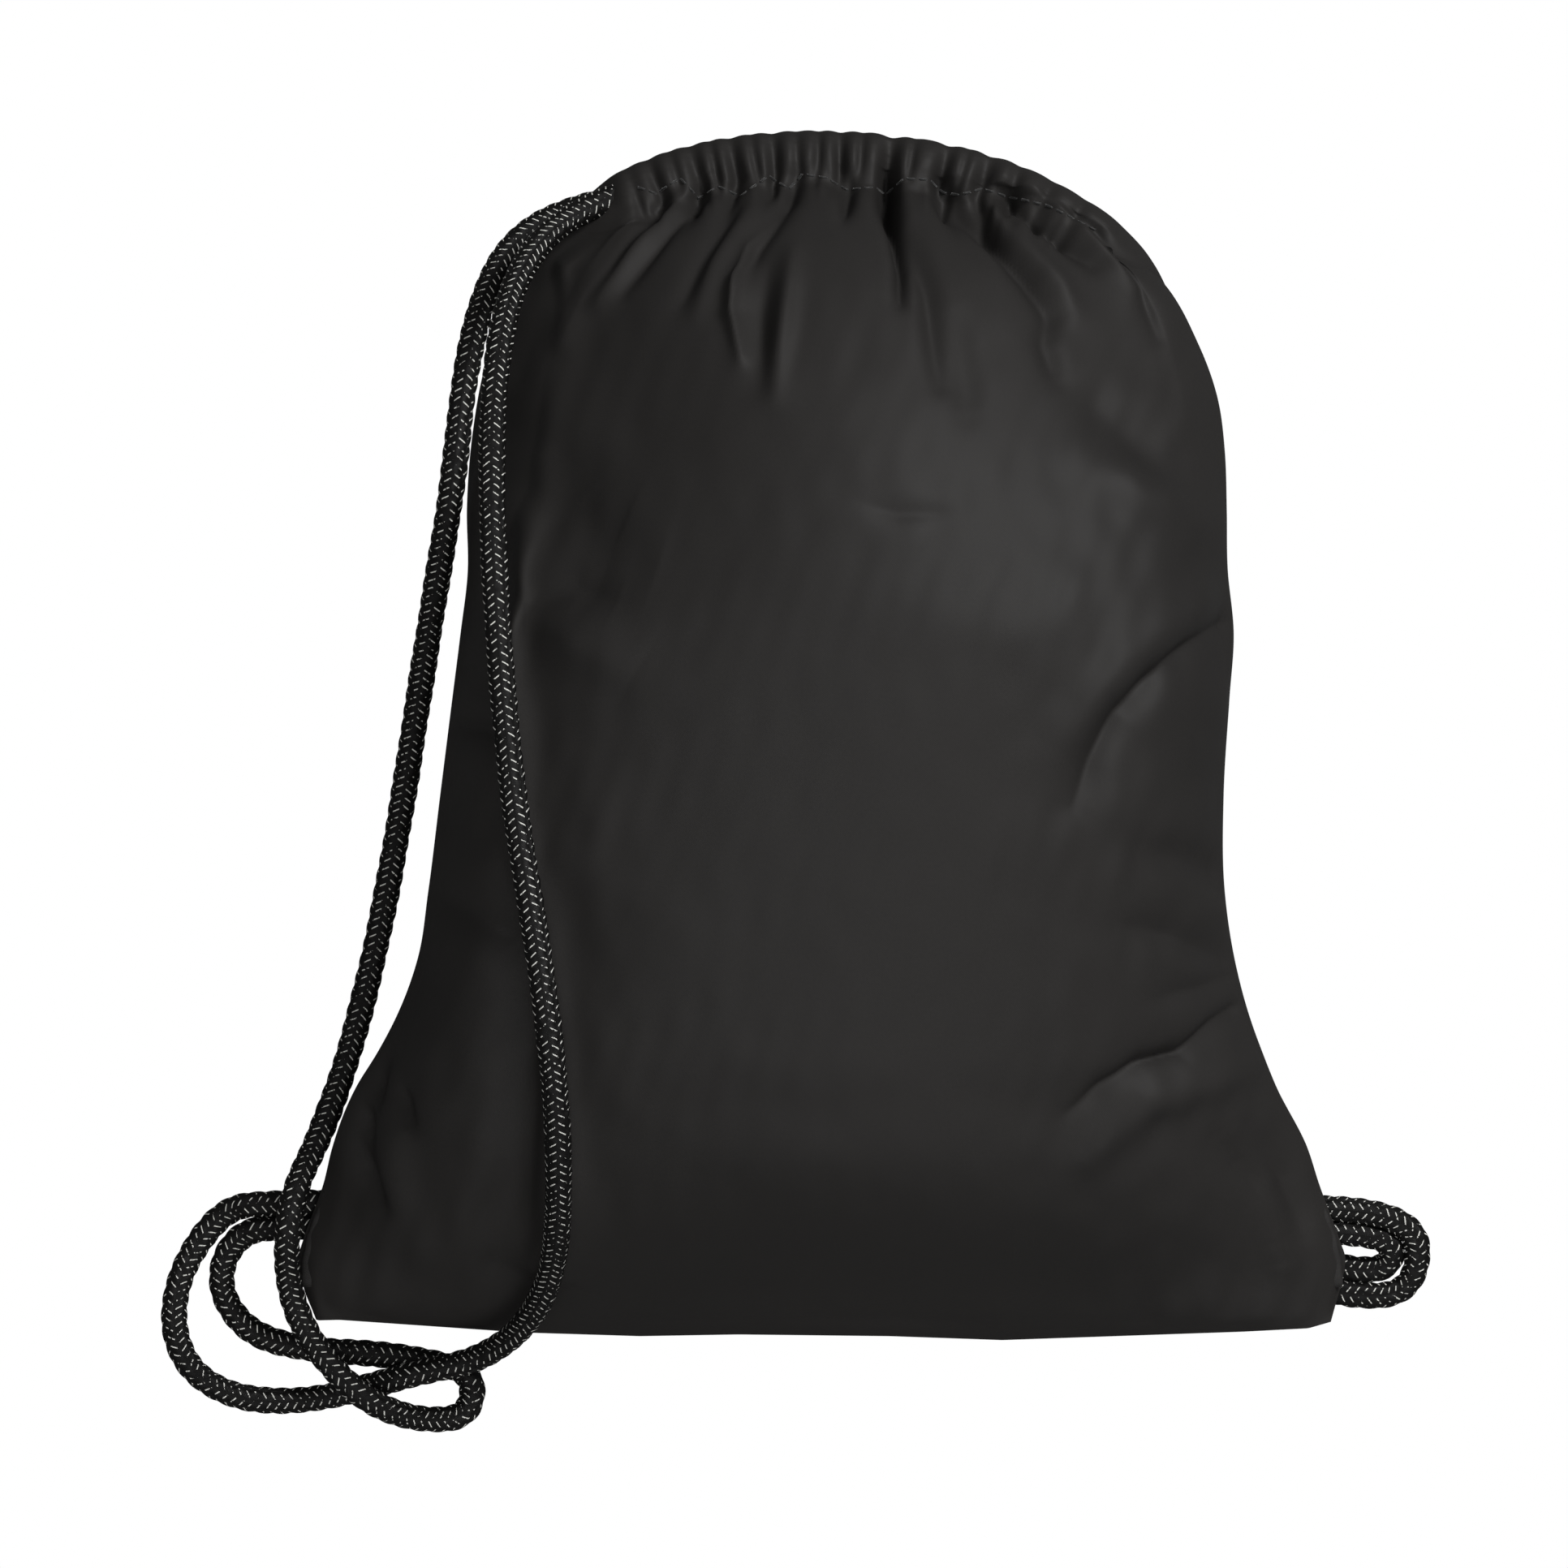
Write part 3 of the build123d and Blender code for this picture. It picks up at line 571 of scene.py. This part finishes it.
def body_grid(rows, columns, front):
    """One panel without its hem, from the bottom seam to the hem's inner edge: rows x columns x 3."""
    nominal = np.linspace(STATIONS[0, 0], TOP_ROW, rows)
    # closer rows at the bottom, where the filling rounds over
    nominal = nominal - ROW_CROWDING * np.sin(pi * (nominal - nominal[0]) / (nominal[-1] - nominal[0]))
    left, right, top, low, seam, turn = curve_through(STATIONS, nominal).T
    wide = right - left
    inner_left = left + turn * wide
    fine = np.linspace(0, 1, SECTION_STEPS)[None, :]
    b0, b1, b2, b3 = (1 - fine) ** 3, 3 * fine * (1 - fine) ** 2, 3 * fine ** 2 * (1 - fine), fine ** 3
    # each cross-section is a Bezier curve from side seam to side seam, whose crest is at top or low
    if front:
        inner_right = right - turn * wide
        control = seam + (top - seam) * 4 / 3
    else:
        inner_right = right - LIFT_SPAN * wide
        control = seam - (seam - low) * 4 / 3
    xs = left[:, None] * b0 + inner_left[:, None] * b1 + inner_right[:, None] * b2 + right[:, None] * b3
    zs = seam[:, None] * (b0 + b3) + control[:, None] * (b1 + b2)
    share = np.linspace(0, 1, columns)
    x, z = np.zeros((rows, columns)), np.zeros((rows, columns))
    for i in range(rows):
        run = np.concatenate([[0], np.cumsum(np.hypot(np.diff(xs[i]), np.diff(zs[i])))])
        x[i] = np.interp(share, run / run[-1], xs[i])
        z[i] = np.interp(share, run / run[-1], zs[i])
    y = np.repeat(nominal[:, None], columns, axis=1)
    # the end closes on the bottom seam, which bows and has rounded corners
    rounding = np.clip((nominal - nominal[0]) / END_ROUNDING, 0, 1)
    close = np.sin(pi / 2 * rounding)[:, None] ** END_FULLNESS
    z = seam[:, None] + (z - seam[:, None]) * close
    lift = np.interp(x, BOTTOM[:, 0], BOTTOM[:, 1]) - nominal[0]
    y = y + lift * (1 - smoothstep(nominal, nominal[0], nominal[0] + BOTTOM_REACH))[:, None]
    # the top draws in to the hem
    bearing = RIM_FIRST + (RIM_LAST - RIM_FIRST) * share
    radius, band, band_share, mouth = rim(bearing)
    inner = radius - band
    end_x = ARCH[0] + inner * np.sin(np.radians(bearing))
    end_y = ARCH[1] + inner * np.cos(np.radians(bearing))
    draw = smoothstep(nominal, DRAWN_FROM, TOP_ROW)[:, None] ** DRAWN_POWER
    x = x + draw * (end_x - x[-1])[None, :]
    y = y + draw * (end_y - y[-1])[None, :]
    # and its height falls to the hem's
    at = np.degrees(np.arctan2(x - ARCH[0], y - ARCH[1]))
    reach = np.hypot(x - ARCH[0], y - ARCH[1])
    clamped = np.clip(at, RIM_FIRST, RIM_LAST).ravel()
    radius_at, band_at, _, _ = rim(clamped)
    from_arch = ARCH_OUT - reach
    at_rim = 1 - smoothstep(from_arch, RIM_NEAR, RIM_FAR)
    edge_in = (ARCH_OUT - radius_at + band_at).reshape(at.shape)
    depth = np.clip(from_arch - edge_in * at_rim, 0, ARCH_OUT)
    inside = plateau(at, RIM_FIRST - SHOULDER_SPREAD, RIM_FIRST, RIM_LAST, RIM_LAST + SHOULDER_SPREAD)
    rise = 1 - (1 - depth / ARCH_OUT) ** DOME_POWER
    rise = 1 + (rise - 1) * inside
    rise[y < ARCH[1]] = 1
    edge_z = seam[-1] + (hem_height(0, mouth, front) - seam[-1]) * band_share
    z = edge_z[None, :] + (z - edge_z[None, :]) * rise
    return np.stack([x, y, z], axis=2)


def hem_height(place, mouth, front):
    """Height of one place of the hem's band, between the shut and the open cross-section."""
    opened, shut = (OPEN_FRONT, SHUT_FRONT) if front else (OPEN_BACK, SHUT_BACK)
    return shut[place][1] + (opened[place][1] - shut[place][1]) * mouth


def hem_grid(columns, front):
    """The hem's band as rows that carry on from body_grid's last one, without repeating it."""
    share = np.linspace(0, 1, columns)
    bearing = RIM_FIRST + (RIM_LAST - RIM_FIRST) * share
    radius, band, band_share, mouth = rim(bearing)
    opened, shut = (OPEN_FRONT, SHUT_FRONT) if front else (OPEN_BACK, SHUT_BACK)
    seam = curve_through(STATIONS, np.array([TOP_ROW]))[0, 4]
    keys = np.arange(len(opened))
    last = len(opened) - 1
    places = np.linspace(0, last, last * ROWS_PER_PLACE + 1)[1:]
    rows = []
    for place in places:
        o = [np.interp(place, keys, [k[j] for k in opened]) for j in (0, 1)]
        c = [np.interp(place, keys, [k[j] for k in shut]) for j in (0, 1)]
        left_over = c[0] + (o[0] - c[0]) * mouth
        height = c[1] + (o[1] - c[1]) * mouth
        height = seam + (height - seam) * band_share
        r = radius - band * left_over
        rows.append(np.stack([ARCH[0] + r * np.sin(np.radians(bearing)),
                              ARCH[1] + r * np.cos(np.radians(bearing)), height], axis=1))
    return np.array(rows)


# ---- Cloth simulation: light pressure in slightly oversized cloth, held at its edges ----
SIM_ROWS, SIM_COLUMNS = 74, 66
SIM_FRAMES = 18
SIM_CAP = 7.0  # millimetres the cloth may move; larger moves level off towards this
SIM_SCALE = 10.0  # times life size, where the solver's pressure and bending are at their best
SIM_SLACK = 0.035  # how much larger the cloth is than the form it starts from
SMOOTHINGS = 3


def calmed(shift):
    """The shift without ripples as short as the grid's pitch."""
    for _ in range(SMOOTHINGS):
        for axis in (0, 1):
            shift = np.swapaxes(shift, 0, axis)
            shift = np.concatenate([shift[:1], (shift[:-2] + 2 * shift[1:-1] + shift[2:]) / 4, shift[-1:]])
            shift = np.swapaxes(shift, 0, axis)
    return shift


def simulated_shift():
    """How far the filling's pressure and the slack cloth move each panel's coarse grid, in millimetres."""
    front = body_grid(SIM_ROWS, SIM_COLUMNS, True)
    back = body_grid(SIM_ROWS, SIM_COLUMNS, False)
    size = SIM_ROWS * SIM_COLUMNS
    index = np.arange(size).reshape(SIM_ROWS, SIM_COLUMNS)
    back_index = index + size
    shared = np.zeros((SIM_ROWS, SIM_COLUMNS), bool)
    shared[0] = shared[:, 0] = shared[:, -1] = True
    back_index = np.where(shared, index, back_index)
    points = np.concatenate([front.reshape(-1, 3), back.reshape(-1, 3)])
    faces = []
    for table, flip in ((index, False), (back_index, True)):
        quads = np.stack([table[:-1, :-1], table[:-1, 1:], table[1:, 1:], table[1:, :-1]], axis=2)
        quads = quads.reshape(-1, 4)
        faces.append(quads[:, ::-1] if flip else quads)
    faces = np.concatenate(faces)
    used = np.unique(faces)
    renumber = np.full(2 * size, -1)
    renumber[used] = np.arange(len(used))
    obj = mesh_object("simulated_bag", points[used] * SIM_SCALE, renumber[faces])
    held = obj.vertex_groups.new(name="held")
    held.add([int(i) for i in renumber[np.concatenate([index[-1], back_index[-1]])]], 1.0, "REPLACE")
    edge = np.unique(np.concatenate([index[0], index[:, 0], index[:, -1]]))
    held.add([int(i) for i in renumber[edge] if i >= 0], 1.0, "REPLACE")
    cloth = obj.modifiers.new("cloth", "CLOTH")
    settings = cloth.settings
    settings.quality = 5
    settings.mass = 0.3
    settings.tension_stiffness = 12
    settings.compression_stiffness = 6
    settings.shear_stiffness = 4
    settings.bending_stiffness = 0.3
    settings.vertex_group_mass = "held"
    settings.pin_stiffness = 2
    settings.shrink_min = -SIM_SLACK
    settings.use_pressure = True
    settings.uniform_pressure_force = 2.5
    settings.effector_weights.gravity = 0
    cloth.collision_settings.use_collision = False
    cloth.collision_settings.use_self_collision = False
    scene = bpy.context.scene
    cloth.point_cache.frame_start = 1
    cloth.point_cache.frame_end = SIM_FRAMES
    for at in range(1, SIM_FRAMES + 1):
        scene.frame_set(at)
    graph = bpy.context.evaluated_depsgraph_get()
    moved = obj.evaluated_get(graph)
    co = np.zeros(len(used) * 3)
    moved.data.vertices.foreach_get("co", co)
    co = co.reshape(-1, 3) / MM / SIM_SCALE
    scene.frame_set(1)
    shift = co - points[used]
    span = np.linalg.norm(shift, axis=1)[:, None]
    shift = shift / np.sqrt(1 + (span / SIM_CAP) ** 2)
    bpy.data.objects.remove(obj)
    return [calmed(shift[renumber[table]]) for table in (index, back_index)]


def refine(grid, rows, columns):
    """The coarse grid's values on a finer grid over the same panel."""
    def along(values, count):
        places = np.linspace(0, len(values) - 1, count)
        i = np.clip(places.astype(int), 0, len(values) - 2)
        t = (places - i).reshape(-1, 1, 1)
        before = values[np.clip(i - 1, 0, None)]
        a, b = values[i], values[i + 1]
        after = values[np.clip(i + 2, None, len(values) - 1)]
        return 0.5 * (2 * a + (b - before) * t + (2 * before - 5 * a + 4 * b - after) * t ** 2
                      + (3 * (a - b) + after - before) * t ** 3)
    rowed = along(grid, rows)
    return along(rowed.transpose(1, 0, 2), columns).transpose(1, 0, 2)


def grid_normals(points):
    across = np.gradient(points, axis=1)
    along = np.gradient(points, axis=0)
    normal = np.cross(across, along)
    return normal / (np.linalg.norm(normal, axis=2)[..., None] + 1e-9)


# ---- Folds, gathers and crumple ----
ROWS, COLUMNS = 330, 300


def gather_depth(points):
    """Depth of the gathers at each point: they run across the hem and fade into the panel."""
    at = np.degrees(np.arctan2(points[..., 0] - ARCH[0], points[..., 1] - ARCH[1]))
    reach = np.hypot(points[..., 0] - ARCH[0], points[..., 1] - ARCH[1])
    inward = np.clip(GATHER_OUT - reach, 0, None)
    depth = np.zeros(at.shape)
    for bearing, deep, half, run, drift in GATHERS:
        centre = bearing + drift * np.clip((inward - GATHER_START) / run, 0, 1.3)
        wide = half * (1 + 1.1 * np.clip((inward - GATHER_START) / run, 0, 1.5))
        fade = 1 - smoothstep(inward, 0.45 * run, 1.25 * run)
        depth += deep * fade * np.exp(-(np.abs(at - centre) / wide) ** 1.8)
    # fine puckers at the stitch line between the named gathers
    wave = np.sin(radians(1) * at * PUCKERS + PUCKER_WANDER * np.sin(at * 0.9))
    pucker = wave * np.exp(-((inward - PUCKER_IN) / PUCKER_SPREAD) ** 2)
    window = plateau(at, GATHERS_FROM, GATHERS_FULL, GATHERS_FADE, GATHERS_TO)
    return GATHER_GAIN * window * (depth + PUCKER_HEIGHT * pucker)


def fold_depth(points):
    """Depth of the front's folds at each point: each one fades towards both ends of its line."""
    plan = points[..., :2].reshape(-1, 2)
    depth = np.zeros(len(plan))
    for deep, half, sharp, line in FOLDS:
        d, along = distance_to_line(plan, line)
        fade = np.sin(pi * np.clip(0.08 + 0.84 * along, 0, 1)) ** 0.7
        depth += FOLD_GAIN * deep * fade * np.exp(-(d / half) ** sharp)
    return depth.reshape(points.shape[:2])


def crumple(x, y, kind):
    """One of the soft noises in the tables above."""
    height, size, seed = kind
    return height * smooth_noise(x, y, size, seed)


def seat_for_strand(points, line):
    """Draws the front up or down to meet a strand that lies on it."""
    over = line[(line[:, 2] > SEAT_Z) & (line[:, 0] > SEAT_X)]
    knots = over[::SEAT_EVERY]
    start, step = knots[:-1], np.diff(knots, axis=0)
    length = (step[:, :2] ** 2).sum(axis=1)
    plan = points[..., :2].reshape(-1, 2)
    z = points[..., 2].reshape(-1)
    right_of_it, above_it = over[:, 0].max() + SEAT_REACH, over[:, 1].max() + SEAT_REACH
    near = np.flatnonzero((plan[:, 0] < right_of_it) & (plan[:, 1] < above_it))
    for part in np.array_split(near, SEAT_PARTS):
        away = plan[part][:, None] - start[None, :, :2]
        along = np.clip((away * step[None, :, :2]).sum(axis=2) / length, 0, 1)
        gap = np.linalg.norm(away - along[..., None] * step[None, :, :2], axis=2)
        nearest = gap.argmin(axis=1)
        row = np.arange(len(part))
        d = gap[row, nearest]
        bed = start[nearest, 2] + along[row, nearest] * step[nearest, 2] - CORD_THICK / 2 - SEAT_GAP
        pull = (np.exp(-(d / SEAT_SPREAD) ** 2)
                * (1 - smoothstep(np.abs(bed - z[part]), SEAT_NEAR, SEAT_FAR)))
        z[part] += pull * (bed - z[part])
        under = bed + np.clip((d - UNDER_FLAT) / UNDER_FLAT, 0, None) ** 2
        z[part] = np.where(d < UNDER_WIDTH, np.minimum(z[part], under), z[part])
    points[..., 2] = z.reshape(points.shape[:2])


def panel(name, front, shift):
    """One panel with its hem as one sheet, from the bottom seam over the rim and back into the mouth."""
    body = body_grid(ROWS, COLUMNS, front)
    moved = refine(shift, ROWS, COLUMNS)
    if not front:
        moved[..., 2] = np.maximum(moved[..., 2], -BACK_SAG * (body[..., 2] > BACK_SAG_ABOVE))
    body = body + moved
    points = np.concatenate([body, hem_grid(COLUMNS, front)])
    at_edge = np.minimum(np.arange(COLUMNS), np.arange(COLUMNS)[::-1])[None, :] / COLUMNS
    row = np.arange(len(points))[:, None]
    free = smoothstep(at_edge, 0.0, EDGE_SHARE) * smoothstep(row, 0, EDGE_ROWS)
    over_rim = ROWS + ROWS_PER_PLACE * RIM_PLACE
    normal = grid_normals(points) * (1 if front else -1)
    x, y = points[..., 0], points[..., 1]
    if front:
        hem_fade = 1 - smoothstep(row, over_rim - FADE_ROWS, over_rim + 1)
        gathers = gather_depth(points) * (PAST_RIM + (1 - PAST_RIM) * hem_fade)
        folds = fold_depth(points) * (1 - smoothstep(row, ROWS + FOLDS_KEPT, ROWS + FOLDS_GONE))
        soft = crumple(x, y, BIG_CRUMPLE) + crumple(x * SMALL_CRUMPLE_SQUEEZE, y, SMALL_CRUMPLE)
        patch = CALM_MIDDLE + (1 - CALM_MIDDLE) * smoothstep(np.abs(x), CALM_TO, CRUMPLED_FROM)
        depth = gathers + folds + soft * patch * (row < ROWS)
    else:
        mirrored = points * (-1, 1, 1)
        depth = BACK_GATHERS * gather_depth(mirrored) + crumple(x, y, BACK_CRUMPLE)
    points = points - normal * (depth * free)[..., None]
    if front:
        seat_for_strand(points[:ROWS], STRAND_LINES["left_cord_inner_strand"])
    else:
        points[..., 2] = np.maximum(points[..., 2], BACK_FLOOR_GAP)
    across = np.cumsum(np.linalg.norm(np.diff(points, axis=1, prepend=points[:, :1]), axis=2), axis=1)
    along = np.cumsum(np.linalg.norm(np.diff(points, axis=0, prepend=points[:1]), axis=2), axis=0)
    middle = across[:, COLUMNS // 2][:, None]
    uv = np.stack([across - middle, along], axis=2).reshape(-1, 2) * MM
    faces = grid_faces(len(points), COLUMNS, flip=not front)
    obj = mesh_object(name, points.reshape(-1, 3), faces, uvs=uv, material=FABRIC)
    # where the shoulders are closed the band's last rows lie on one line
    mesh = bmesh.new()
    mesh.from_mesh(obj.data)
    bmesh.ops.remove_doubles(mesh, verts=mesh.verts, dist=MERGE_DISTANCE)
    bmesh.ops.dissolve_degenerate(mesh, edges=mesh.edges, dist=FLAT_DISTANCE)
    mesh.to_mesh(obj.data)
    mesh.free()
    return obj


front_shift, back_shift = simulated_shift()
front = panel("front_panel_cloth", True, front_shift)
back = panel("back_panel_cloth", False, back_shift)

# ---- Stitches through the front hem ----
surface = BVHTree.FromPolygons([v.co.copy() for v in front.data.vertices],
                               [tuple(p.vertices) for p in front.data.polygons])


def stitch_line():
    """Short rounded dashes that lie on the front hem and dip into it at their ends."""
    turns = np.array([arch_point(b, r, 0) for b, r in STITCHING])[:, :2]
    legs = np.concatenate([[0], np.cumsum(np.linalg.norm(np.diff(turns, axis=0), axis=1))])
    starts = np.arange(0, legs[-1] - DASH, DASH + DASH_GAP)
    points, faces = [], []
    for start in starts:
        base = len(points)
        for k in range(STITCH_RINGS):
            s = start + DASH * k / (STITCH_RINGS - 1)
            here = np.array([np.interp(s, legs, turns[:, j]) for j in (0, 1)])
            ahead = np.array([np.interp(s + LOOK_AHEAD, legs, turns[:, j]) for j in (0, 1)]) - here
            ahead /= np.linalg.norm(ahead) + 1e-9
            above = Vector((here[0] * MM, here[1] * MM, RAY_START))
            hit = surface.ray_cast(above, Vector((0, 0, -1)))[0]
            height = hit.z / MM + THREAD * (STITCH_UP if 0 < k < STITCH_RINGS - 1 else STITCH_DOWN)
            for a in np.linspace(0, 2 * pi, STITCH_SIDES, endpoint=False):
                side = np.array([-ahead[1], ahead[0]]) * cos(a) * THREAD * STITCH_FLATNESS
                points.append((here[0] + side[0], here[1] + side[1], height + sin(a) * THREAD))
        for k in range(STITCH_RINGS - 1):
            first = base + k * STITCH_SIDES
            for j in range(STITCH_SIDES):
                a, b = first + j, first + (j + 1) % STITCH_SIDES
                faces.append((a, b, b + STITCH_SIDES, a + STITCH_SIDES))
        last = base + (STITCH_RINGS - 1) * STITCH_SIDES
        faces.append(tuple(base + j for j in range(STITCH_SIDES))[::-1])
        faces.append(tuple(last + j for j in range(STITCH_SIDES)))
    return mesh_object("front_hem_stitches", points, faces, material=THREAD_LOOK)


stitches = stitch_line()

# ---- Corner tabs ----
TAB_LOW, TAB_HIGH = -196.0, -161.5
TAB_ROWS, TAB_COLUMNS = 26, 18
TAB_BOW, TAB_WAVE = 1.1, 0.3  # how far it bows outwards, and a small unevenness in that
TAB_HALF_WIDTH = 3.4
TAB_INSET = 4.6  # its middle lies this far inside the bag's edge
TAB_RISE = 1.0  # and this far above the side seam, with a small wave in height
TAB_HEIGHT_WAVE = 0.35
TAB_HALF_THICK, TAB_PARTING = 1.0, 0.35  # the layers part by the second towards the fold
TAB_END_THICK = 0.6  # share of the thickness left at its ends
TAB_UV_WIDTH = 0.002


def corner_tab(side, name):
    """Folded strip of cloth in the side seam: two layers that part a little towards the fold."""
    rows, columns = TAB_ROWS, TAB_COLUMNS
    y = np.linspace(TAB_LOW, TAB_HIGH, rows)
    edge = curve_through(STATIONS, y)[:, 0 if side < 0 else 1]
    seam = curve_through(STATIONS, y)[:, 4]
    points, uv = [], []
    for i in range(rows):
        end = plateau(i, 0, 2, rows - 3, rows - 1)
        for j, a in enumerate(np.linspace(0, 2 * pi, columns, endpoint=False)):
            bow = TAB_BOW * sin(pi * i / (rows - 1)) + TAB_WAVE * sin(i * 1.1)
            out = 0.5 * bow + TAB_HALF_WIDTH * cos(a) - TAB_INSET
            thick = TAB_END_THICK + (1 - TAB_END_THICK) * end
            up = (TAB_HALF_THICK + TAB_PARTING * cos(a)) * sin(a) * thick
            middle = seam[i] + TAB_RISE + TAB_HEIGHT_WAVE * sin(i * 0.8)
            points.append((edge[i] + side * out, y[i], middle + up))
            uv.append((a * TAB_UV_WIDTH, y[i] * MM))
    faces = []
    for i in range(rows - 1):
        for j in range(columns):
            a, b = i * columns + j, i * columns + (j + 1) % columns
            faces.append((a, b, b + columns, a + columns) if side > 0 else (a, a + columns, b + columns, b))
    first = tuple(range(columns))
    last = tuple((rows - 1) * columns + j for j in range(columns))
    faces += [first[::-1], last] if side > 0 else [first, last[::-1]]
    obj = mesh_object(name + "_cloth", points, faces, uvs=uv, material=TAB_CLOTH)
    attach(obj, "bag")
    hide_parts(name)


corner_tab(-1, "left_corner_tab")
corner_tab(1, "right_corner_tab")

# ---- Transforms, the back's body, and hiding the CAD parts that the sheets replace ----
for piece in (front, stitches):
    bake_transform(piece)
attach(back, "bag")
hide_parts("front_panel", "front_hem_tunnel", "left_cord_in_front_hem", "right_cord_in_front_hem")
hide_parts("back_panel", "back_hem_tunnel", "left_cord_in_back_hem", "right_cord_in_back_hem",
            "left_cord_end_turn", "right_cord_end_turn")

# ---- Floor and light ----
floor_material, floor_tree, floor_shader = new_material("pale_floor", (0.12, 0.12, 0.12), 0.9, 0.0, 0.1)
# the camera sees a bright paper-white floor, the bag sees a dim one, so that its flanks stay dark
glow = node(floor_tree, "ShaderNodeEmission", {"Color": (1, 1, 1, 1), "Strength": 1.0})
seen = node(floor_tree, "ShaderNodeLightPath")
floor_mix = node(floor_tree, "ShaderNodeMixShader", {0: seen.outputs["Is Camera Ray"]})
floor_tree.links.new(floor_shader.outputs[0], floor_mix.inputs[1])
floor_tree.links.new(glow.outputs[0], floor_mix.inputs[2])
floor_tree.links.new(floor_mix.outputs[0], floor_tree.nodes["Material Output"].inputs["Surface"])
FLOOR_HALF = 4000
floor_corners = [(x * FLOOR_HALF, y * FLOOR_HALF, 0) for x, y in ((-1, -1), (1, -1), (1, 1), (-1, 1))]
floor = mesh_object("floor", floor_corners, [(0, 1, 2, 3)], material=floor_material, smooth=False)


def area_light(name, place, target, size, power):
    """Square light aimed at the target: places and size in metres, power in watts."""
    data = bpy.data.lights.new(name, "AREA")
    data.shape = "SQUARE"
    data.size = size
    data.energy = power
    light = bpy.data.objects.new(name, data)
    light.location = place
    light.rotation_euler = (Vector(target) - Vector(place)).to_track_quat("-Z", "Y").to_euler()
    bpy.context.scene.collection.objects.link(light)


area_light("key", (1.3, 1.3, 1.6), (0, 0, 0.05), size=0.6, power=60)
area_light("fill", (-1.0, -0.6, 2.4), (0, 0, 0.05), size=1.6, power=12)
area_light("overhead", (0.3, -0.6, 3.6), (0, 0, 0), size=2.8, power=34)
area_light("low", (0.4, -1.9, 1.6), (0, 0, 0.05), size=1.6, power=20)
world = bpy.data.worlds.new("studio")
world.use_nodes = True
world.node_tree.nodes["Background"].inputs["Color"].default_value = (1, 1, 1, 1)
world.node_tree.nodes["Background"].inputs["Strength"].default_value = 0.24
bpy.context.scene.world = world
bpy.context.scene.view_settings.view_transform = "Standard"
